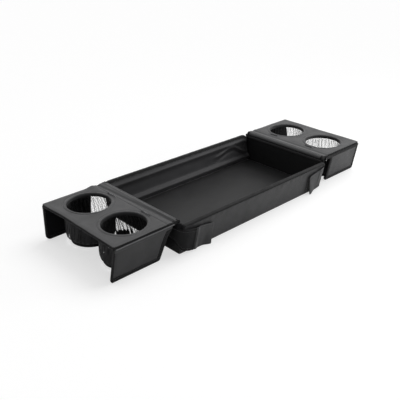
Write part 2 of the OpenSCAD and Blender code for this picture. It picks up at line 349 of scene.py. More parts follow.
def stitches(path, out, radius=0.26):
    """Capsules along a path: rings whose girth falls to nothing at both ends, standing half out of
    the cloth on the side that out points to."""
    middle = paced(path, max(int(run_of(path)[-1] / stitch_pitch), 2))
    along = unit(np.gradient(middle, axis=0))[:, None, None]
    out = np.broadcast_to(np.asarray(out, float), middle.shape)[:, None, None]
    reach = np.array([-0.5, -0.4, 0, 0.4, 0.5]) * stitch_length
    girth = np.array([0, 0.75, 1, 0.75, 0]) * radius
    turn = np.linspace(0, 2 * np.pi, 7)
    across = np.cross(out, along) * np.cos(turn)[:, None] + out * (np.sin(turn)[:, None] + 0.3)
    grid = middle[:, None, None] + along * reach[:, None, None] + across * girth[:, None, None]
    grid[:, :, -1] = grid[:, :, 0]
    return grid, place(reach[:, None], turn * radius)


# %% [markdown]
# ## Finishes
#
# Every finish is a Principled shader fed by patterns. The weave follows the cloth coordinates, which
# are real metres, so a yarn is as fine on a tab as on a wing. The slow colour changes follow the
# object's own coordinates. Numbers that are the same all over stay on the shader's sockets.

# %% Node helpers
finishes = {}


def start_finish(name):
    """A new material: its node tree and its Principled shader."""
    material = bpy.data.materials.new(name)
    material.use_nodes = True
    finishes[name] = material
    return material.node_tree, material.node_tree.nodes["Principled BSDF"]


def join(tree, node, inputs):
    """A node's inputs joined to sockets, or set to values."""
    for key, value in inputs.items():
        if isinstance(value, bpy.types.NodeSocket):
            tree.links.new(value, node.inputs[key])
        else:
            node.inputs[key].default_value = value


def add(tree, kind, inputs=None, **settings):
    """The first output of a new node with these settings and inputs."""
    node = tree.nodes.new("ShaderNode" + kind)
    for key, value in settings.items():
        setattr(node, key, value)
    join(tree, node, inputs or {})
    return node.outputs[0]


# %% Patterns
def coordinates(tree, kind="Object"):
    """Where a point is: in the object, or on the cloth for UV."""
    return tree.nodes.new("ShaderNodeTexCoord").outputs[kind]


def noise(tree, where, per_metre, detail=3.0):
    """Cloudy noise with so many clouds in a metre."""
    return add(tree, "TexNoise", {"Vector": where, "Scale": per_metre, "Detail": detail, "Roughness": 0.55})


def calc(tree, operation, a, b=0.0):
    """Two numbers or sockets put together by one operation."""
    return add(tree, "Math", {0: a, 1: b}, operation=operation)


def added(tree, *parts):
    """Patterns added up, each given with its weight."""
    total, *others = [calc(tree, "MULTIPLY", pattern, weight) for pattern, weight in parts]
    for part in others:
        total = calc(tree, "ADD", total, part)
    return total


def scaled(tree, value, low, high):
    """A pattern that runs from 0.3 to 0.7, stretched to run from low to high."""
    inputs = {"Value": value, "From Min": 0.3, "From Max": 0.7, "To Min": low, "To Max": high}
    return add(tree, "MapRange", inputs)


def shade_mix(tree, factor, dark, light):
    """A colour between a dark and a light one."""
    node = tree.nodes.new("ShaderNodeMix")
    node.data_type = "RGBA"
    tree.links.new(factor, node.inputs["Factor"])
    for socket in node.inputs:
        if socket.type == "RGBA":
            socket.default_value = (*(dark if socket.name == "A" else light), 1)
    return next(s for s in node.outputs if s.type == "RGBA")


def yarns(tree, along_pitch, across_pitch):
    """Height of a plain weave: the sines of both cloth distances multiplied, so yarns pass over
    and under each other. The pitches are the yarn spacing in metres."""
    split = tree.nodes.new("ShaderNodeSeparateXYZ")
    tree.links.new(coordinates(tree, "UV"), split.inputs[0])
    u, v = (calc(tree, "SINE", calc(tree, "MULTIPLY", split.outputs[k], math.pi / pitch))
            for k, pitch in enumerate((along_pitch, across_pitch)))
    return calc(tree, "MULTIPLY", u, v)


def relief(tree, height, strength, distance):
    """A height pattern as a normal. The distance is the relief in metres."""
    return add(tree, "Bump", {"Height": height, "Strength": strength, "Distance": distance})


# %% [markdown]
# ### Coated cover cloth, binding tape and thread
#
# The covers are black polyester, woven from fat flat yarns and coated on the back. It looks grey in a
# bright room because each yarn has a dull sheen. The binding is the same yarn in a narrow ribbed tape,
# darker and duller. The backing that lines the flaps and the outside of the ends is darker still: its
# colour is painted shade for faces in the shadow under the wings. The nets' thread is rough. All of them
# come from one function with other greys and pitches.


# %% Woven finishes
def woven(name, dark, light, roughness, pitches, height, gloss, shift):
    """A woven cloth: weave relief from yarns(), two sizes of cloud in the colour, and a worn dullness.
    The height is the relief in metres, and the shift keeps the clouds of two cloths apart."""
    tree, shader = start_finish(name)
    where = add(tree, "Mapping", {"Vector": coordinates(tree), "Location": (shift, 0, 0)})
    clouds = noise(tree, where, 22)
    fibres = noise(tree, where, 1400, 2)
    weave = yarns(tree, *pitches)
    tone = added(tree, (clouds, 0.75), (fibres, 0.25), (weave, 0.08))
    join(tree, shader, {
        "Base Color": shade_mix(tree, scaled(tree, tone, 0, 1), dark, light),
        "Roughness": scaled(tree, noise(tree, where, 60), roughness - 0.05, roughness + 0.07),
        "Normal": relief(tree, added(tree, (weave, 1), (fibres, 0.8)), 0.5, height),
        "Specular IOR Level": gloss, "Sheen Weight": 0.04, "Sheen Roughness": 0.5})


woven("cover_cloth", (0.036, 0.036, 0.037), (0.054, 0.054, 0.056), roughness=0.42,
      pitches=(0.00055, 0.0006), height=0.00004, gloss=0.24, shift=0)
woven("binding_tape", (0.007, 0.007, 0.0075), (0.013, 0.013, 0.0135), roughness=0.55,
      pitches=(0.0011, 0.0005), height=0.0001, gloss=0.10, shift=1)
woven("thread", (0.09, 0.09, 0.093), (0.15, 0.15, 0.154), roughness=0.5,
      pitches=(0.0004, 0.0004), height=0.00003, gloss=0.16, shift=2)
woven("cup_net", (0.035, 0.035, 0.036), (0.055, 0.055, 0.057), roughness=0.5,
      pitches=(0.0016, 0.0012), height=0.00012, gloss=0.16, shift=3)
# Backing: its near-black colour is painted shade for faces in the shadow under the wings.
woven("backing_painted_shade", (0.007, 0.007, 0.008), (0.012, 0.012, 0.013), roughness=0.7,
      pitches=(0.0008, 0.0008), height=0.00006, gloss=0.08, shift=4)

# %% [markdown]
# ### Smooth lining and its lit copy for the walls
#
# The inside is wiped clean, so its cloth carries a thin smooth coat with a fine grain. It is nearly
# black, and what one sees on it is the soft mirror image of the room. So the colour is dark, the
# roughness low, and the grain only breaks the mirror image a little. On the long walls the same cloth gets
# a copy about three times lighter: painted light for the light that falls on the walls, while the ends
# and the floor keep the darker copy.


# %% Lining finishes
def lining_finish(name, dark, light):
    """Dark coat: clouds in the colour, streaks of wear in the roughness, a pebble grain in the relief."""
    tree, shader = start_finish(name)
    where = coordinates(tree)
    long_way = add(tree, "Mapping", {"Vector": where, "Scale": (0.3, 1, 1)})
    grain = added(tree, (noise(tree, where, 900, 2), 1), (noise(tree, where, 120, 1), 1))
    join(tree, shader, {
        "Base Color": shade_mix(tree, scaled(tree, noise(tree, where, 14), 0, 1), dark, light),
        "Roughness": scaled(tree, noise(tree, long_way, 45), 0.38, 0.45),
        "Normal": relief(tree, grain, 0.25, 0.0001), "Specular IOR Level": 0.17})


# The darker copy, kept for the ends and the floor.
lining_finish("smooth_lining", (0.015, 0.015, 0.0155), (0.020, 0.020, 0.0205))
# The walls' copy: its lighter colour is painted light.
lining_finish("wall_lining_painted_light", (0.048, 0.048, 0.050), (0.062, 0.062, 0.065))

# %% [markdown]
# ### Loop tape and stiff board
#
# The patches under the corner tabs are loop tape: a mat of tiny curls that drinks the light. The boards
# are rough grey pulp board, hidden by the cloth. Both need no cloth coordinates.


# %% Loop tape and board
def loop_finish():
    """A mat of curls: round cells in colour and relief, fully rough."""
    tree, shader = start_finish("loop_tape")
    curls = add(tree, "TexVoronoi", {"Vector": coordinates(tree), "Scale": 1100})
    join(tree, shader, {
        "Base Color": shade_mix(tree, curls, (0.028, 0.028, 0.030), (0.008, 0.008, 0.009)),
        "Normal": relief(tree, calc(tree, "SUBTRACT", 1.0, curls), 0.9, 0.0006),
        "Roughness": 0.95, "Sheen Weight": 0.3})


def board_finish():
    """Pressed pulp: fine fibres over slow clouds, matt."""
    tree, shader = start_finish("stiff_board")
    where = coordinates(tree)
    fibres = noise(tree, add(tree, "Mapping", {"Vector": where, "Scale": (1, 6, 6)}), 500)
    tone = added(tree, (noise(tree, where, 30), 0.5), (fibres, 0.5))
    join(tree, shader, {
        "Base Color": shade_mix(tree, scaled(tree, tone, 0, 1), (0.13, 0.13, 0.135), (0.22, 0.22, 0.23)),
        "Roughness": scaled(tree, fibres, 0.75, 0.9), "Normal": relief(tree, fibres, 0.4, 0.0001)})


loop_finish()
board_finish()
boards = [name for name in frame["nodes"] if name.endswith(("wall_board", "flap_board"))]
for name in boards:
    node = frame["nodes"][name]
    node.data.materials.clear()
    node.data.materials.append(finishes["stiff_board"])
print("finishes", sorted(finishes), "boards", len(boards))

# %% [markdown]
# ## The wings' top cloth
#
# Each wing is a board with two round holes under one sheet of cloth. A flat plate with holes cut by a
# boolean would have long thin faces and no room for puckers. Here each half of the wing is a grid that
# runs from the hole's circle out to the half's rectangle, so rings of points follow the hole and
# relax into straight edges. The cloth dips into a groove along its hinge, rises where padding is
# trapped, and rolls over the edges.

# %% Wing shape
corner_r = 2.5
seam_ring = hole_r + 6
groove_depth = {left: 2.3, right: 1.2}
groove_slant = {left: 5.0, right: 0.5}
hinge_x0, hinge_x1 = end_low[0] + 5.0, end_low[0] + 28.5
wing_mid_y = wing_high[1]


def groove(sx, x, y):
    """The dip over the hinge: a bell across, steep towards the tray and gentle towards the wing, whose
    middle drifts outwards towards the far end."""
    middle = wing_low[0] + 3.7 + groove_slant[sx] * y / wing_mid_y
    return groove_depth[sx] * hump(x, middle, np.where(x < middle, 2.8, 5.0))


def far_bulge(sx, x, y):
    """The left wing's cloth stands up near its far inner corner, over a fold of its seam."""
    return (sx == left) * 2.4 * hump(x, wing_low[0] + 24, 8) * hump(y, wing_mid_y, 20)


def hinge_level(sx, x, y):
    """Height of the cloth on both sides of the hinge: the welt, the groove, small puckers beside it."""
    z = top_z - groove(sx, x, y) + far_bulge(sx, x, y)
    z = z + (0.9 if sx == left else 0.4) * hump(x, hinge_x0 + 3.4, 2.3)
    return z + 0.14 * ripple(x, 1.3 * y, 26, 12 + sx) * hump(x, hinge_x1 - 5, 6)


def edge_gap(x, y):
    """Distance in from the wing's three free edges, with round outer corners."""
    dx, dy = wing_high[0] - x, wing_mid_y - abs(y)
    corner = corner_r - np.hypot(np.minimum(dx - corner_r, 0), np.minimum(dy - corner_r, 0))
    return np.where((dx < corner_r) & (dy < corner_r), corner, np.minimum(dx, dy))


def wing_height(sx, x, y):
    """Height of a wing's top: the board's face, less the groove and the rolled edges, plus padding
    round the holes and the slow unevenness of cloth glued by hand."""
    from_hole = np.hypot(x - hole_x, abs(y) - hole_y)
    z = hinge_level(sx, x, y) - 0.9 * (1 - ease(x, hinge_x1 - 4.5, hinge_x1))
    z = z + 0.35 * hump(from_hole, hole_r + 3, 2.2) - 0.5 * hump(from_hole, seam_ring, 1.1)
    z = z - 0.5 * hump(y, 0, 12) * ease(x, 240, 260) + 0.3 * hump(edge_gap(x, y), 7, 4)
    z = z + 0.22 * ripple(x, y + 400 * sx, 55, 11) * ease(x, 233, 250)
    roll = np.clip(1 - edge_gap(x, y) / 2.2, 0, 1)
    return z - 1.6 * (1 - np.sqrt(1 - 0.96 * roll**2))


# %% Wing grid
def wing_cell(y_side, inner_r, inset, x0=wing_low[0], per_side=22, rings=16):
    """Half a wing as a grid from the hole's circle to the rectangle round it. Boundary points are even
    on each side, and each has the circle point that faces it."""
    x1, y1 = wing_high[0] - inset, wing_mid_y - inset
    corners = np.array([[x0, 0], [x1, 0], [x1, y1], [x0, y1], [x0, 0]], float)
    t = np.arange(per_side)[:, None] / per_side
    border = (corners[:-1, None] + (corners[1:] - corners[:-1])[:, None] * t).reshape(-1, 2)
    border = np.concatenate([border, border[:1]])
    pivot = np.array([x1 - corner_r, y1 - corner_r])
    out = border - pivot
    rounded = pivot + out / np.maximum(np.linalg.norm(out, axis=1, keepdims=True), 1e-9) * corner_r
    border = np.where((out > 0).all(1, keepdims=True), rounded, border)
    hole = np.array([hole_x, hole_y])
    reach = np.linalg.norm(border - hole, axis=1, keepdims=True)
    circles = np.array([inner_r, 42.5, 44, 45, 45.6, 46.2, 46.8, 48, 50])
    rest = 1 - (1 - np.linspace(0, 1, rings)[1:]) ** 1.7
    radius = np.concatenate([np.broadcast_to(circles, (len(border), len(circles))),
                             circles[-1] + (reach - circles[-1]) * rest], 1)
    grid = hole + unit(border - hole)[:, None] * radius[..., None]
    return grid[..., 0], grid[..., 1] * y_side


# %% Wing cloths and stiffener
for sx, side in sides.items():
    tops, unders, boards = [], [], []
    for sy in edges:
        order = slice(None, None, sx * sy)
        x, y = wing_cell(sy, hole_r + 1.2, 0.3)
        floor_z = wing_low[2] + 0.25 * (1 + ripple(x, y, 40, 21 + sx))
        for sheets, z in ((tops, wing_height(sx, x, y)), (unders, floor_z)):
            sheets.append((place(sx * x, y, z)[order], place(x, y)[order]))
        x, y = wing_cell(sy, hole_r + 1.8, 1.6, hinge_x1 + 0.5)
        boards.append((place(sx * x, y, top_z - 1.5)[order], place(x, y)[order]))
    for label, grids, finish, node, up, thickness in (
            ("top_cloth", tops, "cover_cloth", "top", 1, 1.1),
            ("under_cloth", unders, "cover_cloth", "underside", -1, 0.8),
            ("stiffener", boards, "stiff_board", "board", 1, 3.2)):
        make_piece(f"{side}_wing_{label}", grids, finish, f"{side}_wing", [f"{side}_wing_{node}"],
                   facing=(0, 0, up), thickness=thickness)

# %% [markdown]
# ## The wings' edge tape and piping
#
# Tape is folded round the wing's three free edges. It could be a box section, but cloth over a board
# edge is a soft bulge, so the section is a rounded strip. Over each flap a cord of piping is caught in
# the seam. On the left wing it takes the pale thread finish: a painted highlight for the bright line
# that light draws along it.


# %% Rim, strips and cords
def wing_rim(g):
    """Outline of the three free edges, drawn in by g: near edge, corner, outer edge, corner, far edge."""
    x1, y1, r = wing_high[0], wing_mid_y, corner_r
    half = np.concatenate([line([wing_low[0], g - y1], [x1 - r, g - y1], 48)[:-1],
                           arc(x1 - r, r - y1, r - g, -90, 0, 9)])
    outer = line([x1 - g, r - y1], [x1 - g, y1 - r], 60)[1:-1]
    return np.concatenate([half, outer, half[::-1] * (1, -1)])


def strips(*grids):
    """Swept strips with their cloth coordinates: the run along each and the run round its section."""
    return [(grid, place(run_of(grid.mean(1))[:, None], run_of(grid[len(grid) // 2]))) for grid in grids]


def tube(path, radius, sides=10):
    """A round cord along a path of points: circles across the path, closed at both ends."""
    along = unit(np.gradient(path, axis=0))
    across = unit(np.cross(along, (0, 0, 1)))
    over = np.cross(across, along)
    turn = np.linspace(0, 2 * np.pi, sides + 1)[:, None]
    grid = path[:, None] + radius * (across[:, None] * np.cos(turn) + over[:, None] * np.sin(turn))
    grid[:, -1] = grid[:, 0]
    return closed_ends(grid)


# %% Edge tape and piping
piping_r = 1.15
edge_section = np.array([[2.6, 66.1], [0.6, 66.0], [-0.1, 66.5], [-0.25, 67.6], [0.1, 68.7], [1.2, 69.3],
                         [1.4, 70.4], [1.7, 71.0], [2.6, 71.1], [2.6, 66.1]]) + (0, top_z - 72)
for sx, side in sides.items():
    grid = np.stack([np.insert(wing_rim(g), 2, z, 1) for g, z in edge_section], 1)
    grid[..., 2] += 1.5 * far_bulge(sx, grid[..., 0], grid[..., 1])
    grid[..., 1] += 0.2 * ripple(grid[..., 0], grid[..., 2], 30, 5) * (abs(grid[..., 1]) > 100)
    grid = closed_ends(grid * (sx, 1, 1))
    make_piece(f"{side}_wing_edge_tape", strips(grid), "binding_tape", f"{side}_wing", [f"{side}_wing_edge"])
    cords = []
    for sy in edges:
        x = np.linspace(wing_low[0] + 1, wing_high[0] - 3, 70)
        y = wing_mid_y + 1.7 + 0.15 * ripple(x, 0 * x, 26, 33 + sx)
        z = wing_low[2] + 0.9 + 0.12 * ripple(x, 0 * x, 18, 31 + sy)
        cords.append(tube(place(sx * x, sy * y, z), piping_r)[:, ::sx * sy])
    # The left cord's pale thread finish is a painted highlight.
    make_piece(f"{side}_wing_piping", strips(*cords), "thread" if sx == left else "binding_tape",
               f"{side}_wing")

# %% [markdown]
# ## Bound rings in the cup holes
#
# Each hole is finished with a bias strip that turns over its edge and is sewn down on top. On the real
# tray the strip puckers a little, because it is eased round a circle. A profile turned round the hole's
# centre gives the ring, and a slow wave in its height gives the puckers.


# %% Hole rings
def turned(profile, centre, count=120, pucker=0.0):
    """A closed or pole-to-pole profile of (r, z) turned once about an upright line. The pucker lifts
    the outer half of the profile in a wave."""
    angle = np.linspace(0, 2 * np.pi, count + 1)[:, None]
    r, z = profile.T
    lift = pucker * np.cos(34 * angle + 2 * np.sin(3 * angle)) * (z > z.mean())
    grid = place(centre[0] + r * np.cos(angle), centre[1] + r * np.sin(angle), z + lift)
    grid[-1] = grid[0]
    return grid, place(angle * r.max(), run_of(profile))


ring_profile = np.array([[1.4, -6.8], [0.2, -6.8], [-0.1, -6.0], [-0.15, -3.5], [0.0, -1.2], [0.35, -0.1],
                         [1.1, 0.55], [2.4, 0.68], [3.6, 0.45], [4.3, -0.05], [3.9, -0.8], [1.4, -0.9],
                         [1.4, -6.8]]) + (hole_r, top_z)
for (sx, sy), quarter in quarters.items():
    ring = turned(ring_profile, (sx * hole_x, sy * hole_y), pucker=0.1)
    make_piece(f"{quarter}_bound_ring", [ring], "cover_cloth", f"{sides[sx]}_wing", [f"{quarter}_hole_ring"])

# %% [markdown]
# ## Net cups
#
# The cups are knotted from fine thread in diamonds, gathered under the ring, and bunched into soft
# folds. A net texture with see-through holes would look flat from close by, so every thread here is
# real: two families of threads wind down the cup in opposite directions, and each follows small pleats.
# The bunched folds are bands in front of them, broad where the net is crowded, and narrow on the side
# where one looks through a single layer.

# %% Net shape
net_threads = 72
net_twist = 1.5
net_pleats = 34
pleat_depth = 1.35
pleat_lap = 2.3
net_thread_r = 0.2
flap_t = 3.6
base_wider = {left: 1.08, right: 1.0}


def cup_wall_r(angle, share, centre):
    """Radius of the cup's wall without pleats, where share runs from the ring down to the hem: it
    bellies out below the ring, less on the side of its flap, and draws in to the hem."""
    sx, sy = np.sign(centre)
    drop = (net_high[2] - net_low[2]) * share
    foot = base_r + 1.3 + (base_wider[sx] - 1) * base_r
    full = hole_r + 0.9 + 4.0 * ease(share, 0, 0.3)
    full = full + (foot - hole_r - 4.9) * (1 - np.sqrt(1 - share**9))
    gap = wing_mid_y - flap_t - 4.2 - hole_y - (drop - 1) * math.tan(max(flap_lean.values()))
    return np.minimum(full, gap / np.maximum(sy * np.sin(angle), 0.3))


def net_z(share):
    """Height of the cup's wall, where share runs from the ring down to the hem."""
    return net_high[2] + (net_low[2] - 0.6 - net_high[2]) * share


def net_point(angle, share, centre):
    """A point of the pleated cup wall. A pleat adds a wave to the radius and a shifted wave to the
    angle, so its sides fold over."""
    fade = ease(share, 0, 0.12) * (1 - 0.5 * ease(share, 0.85, 1))
    wave = net_pleats * angle + 1.5 * np.sin(2 * angle + centre[0]) + 0.8 * np.sin(3 * share + 5 * angle)
    uneven = 1 + 0.35 * np.sin(5 * angle + centre[1])
    r = cup_wall_r(angle, share, centre) + pleat_depth * fade * uneven * np.cos(wave)
    turn = angle + pleat_lap * fade * uneven / r * np.sin(wave)
    return place(centre[0] + r * np.cos(turn), centre[1] + r * np.sin(turn), net_z(share))


# %% Net threads
def net_strands(centre, hand):
    """One family of threads: each keeps its own start angle and turns steadily as it goes down."""
    start = np.arange(net_threads)[:, None] * 2 * np.pi / net_threads
    share = np.linspace(0, 1, 100)
    path = net_point(start + hand * net_twist * share, share, centre)
    along = unit(np.gradient(path, axis=1))
    out = path - (*centre, 0)
    out[..., 2] = 0
    side = unit(np.cross(along, out))
    out = np.cross(side, along)
    turn = np.radians([0, 120, 240, 360])[:, None]
    ring = side[..., None, :] * np.cos(turn) + out[..., None, :] * np.sin(turn)
    grid = path[..., None, :] + net_thread_r * ring
    grid[..., -1, :] = grid[..., 0, :]
    grid = closed_ends(grid)
    return grid, place(np.linspace(0, 80, grid.shape[1])[:, None], np.array([0, 0.35, 0.7, 1.05]))


# %% [markdown]
# The folds' places, widths and lumps are drawn at random, but with a seed, so that each run draws the
# same ones. A fold's section is a crescent, tilted so that one fold laps over the next.

# %% Folds of the gathered net
fold_count = 56
fold_lean = 0.2
fold_bow = 0.6
bunch_away = math.radians(45)
fold_widths = {(left, near): (1.4, 8.8, 3.4), (left, far): (0.5, 8.8), (right, near): (0.5, 6.0),
               (right, far): (0.5, 6.0)}


def net_folds(centre, narrow, broad, lump=0.0):
    """The folds of the gathered net: bands from the ring to the hem with a crescent section, broad on
    the side where the net is bunched and narrow on the side away from it. The lump lets them close up
    low down on that far side."""
    draw = np.random.default_rng(int(abs(centre[0]) + centre[1]))
    start = (np.arange(fold_count) + draw.uniform(-0.16, 0.16, fold_count)) * 2 * np.pi / fold_count
    start, phase = start[:, None], draw.uniform(0, 6, fold_count)[:, None]
    share = np.linspace(0, 1, 22)[None, :]
    angle = start - 0.3 * (share - 0.4) + 0.035 * np.sin(4 * share + phase)
    bunched = 1 - ease(np.cos(angle - bunch_away), 0.05, 0.55)
    half = (narrow + (broad - narrow) * bunched) * (0.5 + 0.06 * np.sin(7 * share + 2 * phase))
    r = cup_wall_r(angle, share, centre)
    low_bunch = lump * hump(angle - bunch_away - 0.2, 0, 0.3) * ease(share, 0.52, 0.62)
    half = half * r / 44 * (0.9 + 0.1 * ease(share, 0, 0.2)) + low_bunch
    t = half[..., None] * np.array([-1, 0, 1, 0, -1])
    up = np.array([0, fold_bow, 0, fold_bow - 0.45, 0]) + 0.3 * np.sin(phase)[..., None]
    tangent = t * math.cos(fold_lean) - up * math.sin(fold_lean)
    radial = r[..., None] + t * math.sin(fold_lean) + up * math.cos(fold_lean)
    c, s = np.cos(angle)[..., None], np.sin(angle)[..., None]
    grid = closed_ends(place(centre[0] + radial * c - tangent * s, centre[1] + radial * s + tangent * c,
                             net_z(share)[..., None]))
    return grid, place(np.linspace(0, 60, grid.shape[1])[:, None], np.array([0, 2, 4, 6, 8.0]))


# %% Nets
for (sx, sy), quarter in quarters.items():
    centre = (sx * hole_x, sy * hole_y)
    net = make_piece(f"{quarter}_net_threads", [net_strands(centre, 1), net_strands(centre, -1)],
                     "cup_net", f"{sides[sx]}_wing", [f"{quarter}_cup_net"])
    folds = make_piece(f"{quarter}_net_folds", [net_folds(centre, *fold_widths[sx, sy])], "cup_net",
                       f"{sides[sx]}_wing")
    for piece in (net, folds):
        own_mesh(piece)
print("threads in a net", 2 * net_threads, "and folds", fold_count)

# %% [markdown]
# ## Cup bases
#
# The base of a cup is a stiffened disc with a hem band standing round it, and the net is sewn to the
# band. The profile is turned from the middle of the underside round to the middle of the upper face, so
# the poles close by themselves. The left cups' bases are a little wider, but not towards their flaps.

# %% Cup bases
base_profile = np.array([[0, 1.6], [12, 1.5], [24, 1.2], [32, 1.0], [35.2, 1.0], [36.6, 1.4], [37.2, 2.6],
                         [37.0, 3.6], [37.25, 5.5], [37.1, 7.6], [36.7, 8.8], [36.1, 9.0], [35.7, 8.5],
                         [35.6, 6.0], [35.4, 4.0], [34.5, 3.3], [30, 3.1], [20, 3.3], [10, 3.5], [0, 3.6]])
for (sx, sy), quarter in quarters.items():
    centre = (sx * hole_x, sy * hole_y)
    disc, cloth = turned(base_profile, centre, count=96)
    x, y, z = np.moveaxis(disc, -1, 0)
    to_flap = ease(sy * (y - centre[1]), -5, 25)
    swell = base_wider[sx] + (1 - base_wider[sx]) * to_flap + 0.006 * ripple(x, y, 14, 41) * (z > 2.5)
    disc[..., :2] = centre + (disc[..., :2] - centre) * swell[..., None]
    disc[-1] = disc[0]
    make_piece(f"{quarter}_base_disc", [(disc, cloth)], "binding_tape", f"{quarter}_cup_base",
               [f"{quarter}_cup_base"])

# %% [markdown]
# ## Flaps
#
# A flap is a thin board in a cloth sleeve, cut with a round arch beside the slot for the wagon's rail
# and bound with tape on its three free edges. Its cover is a patch between four curved sides, filled
# in by blending opposite sides, and puffed a little between its edges. Inside, a backing sheet is laid on,
# near-black as painted shade for the inner face under the wing. The flaps in the photograph aren't all
# cut alike, so each has a slot side of its own.

# %% Flap outline
slot_shape = {(left, near): (wing_low[0] - 14.3, -29.0, 28.5, 17.5, wing_low[0] + 4.4),
              (right, near): (wing_low[0] + 8.7, -12.5, 13.0, 2.0, wing_low[0] + 10.7),
              (left, far): (wing_low[0] + 15.5, -15.0, 13.0, 9.0, wing_low[0] + 17.5),
              (right, far): (wing_low[0] + 15.5, -15.0, 13.0, 9.0, wing_low[0] + 17.5)}
slot_points, side_points, toe_points, hem_points, foot_points, outer_points = 20, 14, 8, 26, 8, 18
toe_r, foot_r, flare = 5.0, {near: 2.5, far: 8.0}, 4.0
tape_t = 0.8
flap_x1 = wing_high[0] - 1
from_seam = points_of("far_right_flap_binding") - (0, wing_high[1], seam_z)
drawn_lean = flap_lean[right, far]
flap_drop = -(from_seam[:, 1] * math.sin(drawn_lean) + from_seam[:, 2] * math.cos(drawn_lean)).min()


def flap_outline(g, sx, sy):
    """The free edges drawn in by g, from the seam at the slot round to the seam at the outer edge: a
    blunt tip, the slot's arc, a slanting side, the toe, the hem, the foot and the outer side."""
    slot_x, slot_v, slot_r, slot_side, tip_x = slot_shape[sx, sy]
    r = slot_r + g
    tip = math.degrees(math.acos(min((tip_x - slot_x) / r, 1)))
    toe, foot = max(toe_r - g, 1), max(foot_r[sy] - g, 1)
    slot = arc(slot_x, slot_v, r, tip, slot_side, slot_points)
    c, s = math.cos(math.radians(slot_side)), math.sin(math.radians(slot_side))
    start = np.array([slot_x, slot_v]) + (r + toe) * np.array([c, s])
    toe_at = start + np.array([s, -c]) * (start[1] + flap_drop - g - toe) / c
    toe_arc = arc(*toe_at, toe, 180 + slot_side, 270, toe_points)
    foot_arc = arc(flap_x1 + flare - g - foot, -flap_drop + g + foot, foot, 270, 360, foot_points)
    edge = np.concatenate([
        line([slot[0, 0], 0], slot[0], 3)[:-1], slot,
        line(slot[-1], toe_arc[0], side_points)[1:-1], toe_arc,
        line(toe_arc[-1], foot_arc[0], hem_points)[1:-1], foot_arc,
        line(foot_arc[-1], [flap_x1 - g, 0], outer_points)[1:],
    ])
    edge[:, 1] = np.minimum(edge[:, 1], -0.35)
    return edge


# %% Flap cover
def filled(left_side, right_side, top_side, bottom_side):
    """Points between four sides: the mean of left-right and top-bottom blends, less the corner blend."""
    s = np.linspace(0, 1, len(top_side))[:, None, None]
    t = np.linspace(0, 1, len(left_side))[None, :, None]
    ruled = (1 - s) * left_side[None] + s * right_side[None] + (1 - t) * top_side[:, None]
    ruled = ruled + t * bottom_side[:, None]
    corners = (1 - s) * ((1 - t) * left_side[0] + t * left_side[-1])
    return ruled - corners - s * ((1 - t) * right_side[0] + t * right_side[-1])


def flap_patch(g, sx, sy, across=38, down=24):
    """The flap's face as a grid, its lower corners at the middle of the toe and of the foot."""
    edge = flap_outline(g, sx, sy)
    toe = 2 + slot_points + side_points - 2 + toe_points // 2
    foot = len(edge) - (outer_points - 1) - foot_points // 2
    low, side, outer = edge[toe:foot + 1], edge[:toe + 1], edge[foot:][::-1]
    return filled(paced(side, down), paced(outer, down), line(edge[0], edge[-1], across), paced(low, across))


for (sx, sy), quarter in quarters.items():
    flap_face = flap_patch(tape_t, sx, sy)
    flap_s = np.linspace(0, 1, flap_face.shape[0])[:, None]
    flap_d = np.linspace(0, 1, flap_face.shape[1])[None, :]
    x, v = flap_face[..., 0], flap_face[..., 1]
    inset = np.minimum(np.minimum(flap_s, 1 - flap_s) * 90, (1 - flap_d) * 60)
    puff = 0.5 + 1.3 * ease(inset, -2, 6) + 0.25 * ripple(x, v, 38, 51 + 2 * sx + sy)
    outer, inner, back = (on_flap(x, -flap_t / 2 + n, v, sx, sy) for n in (puff, -puff, -puff - 0.25))
    make_piece(f"{quarter}_flap_cloth", shell(outer, inner, flap_face), "cover_cloth", f"{quarter}_flap",
               [f"{quarter}_flap_cover"])
    # The flap's inner backing is near-black as painted shade.
    make_piece(f"{quarter}_flap_back", [(back, flap_face)], "backing_painted_shade", f"{quarter}_flap",
               facing=(0, -sy, 0), thickness=0.5)
print("flaps hang down", round(flap_drop, 2))

# %% [markdown]
# ## Flap binding, seam roll and stitches
#
# The binding is one U-shaped section carried round the outline. Because the outline can be drawn in by
# any width, the tape keeps its width round the arch and the toes. It is pressed flat under the seam, where
# it would touch the wing's piping as the flap swings. The cloth that joins a flap to its wing would have
# to bend as the flap swings, so it is a piece of its own, but here it is set in place and does not follow
# the flap.


# %% Flap edge
def taped_edge(g, sx, sy):
    """The outline drawn in by g, but by more beside the slot, and by less on the outer side, where the
    tape is folded narrower."""
    full, thin = flap_outline(g, sx, sy), flap_outline(g * 0.3, sx, sy)
    width = np.interp(run_of(full), run_of(full)[[0, 34, 38, 68, 74, -1]], [1.3, 1.1, 1, 1, 0, 0])[:, None]
    return thin + (full - thin) * width


def on_flap_edge(edge, n, sx, sy):
    """Points of an outline at height n off the flap, where what lies on it goes flat below the seam."""
    core = np.clip(n, -flap_t, 0)
    return on_flap(edge[:, 0], core + (n - core) * ease(-edge[:, 1], 0, 6), edge[:, 1], sx, sy)


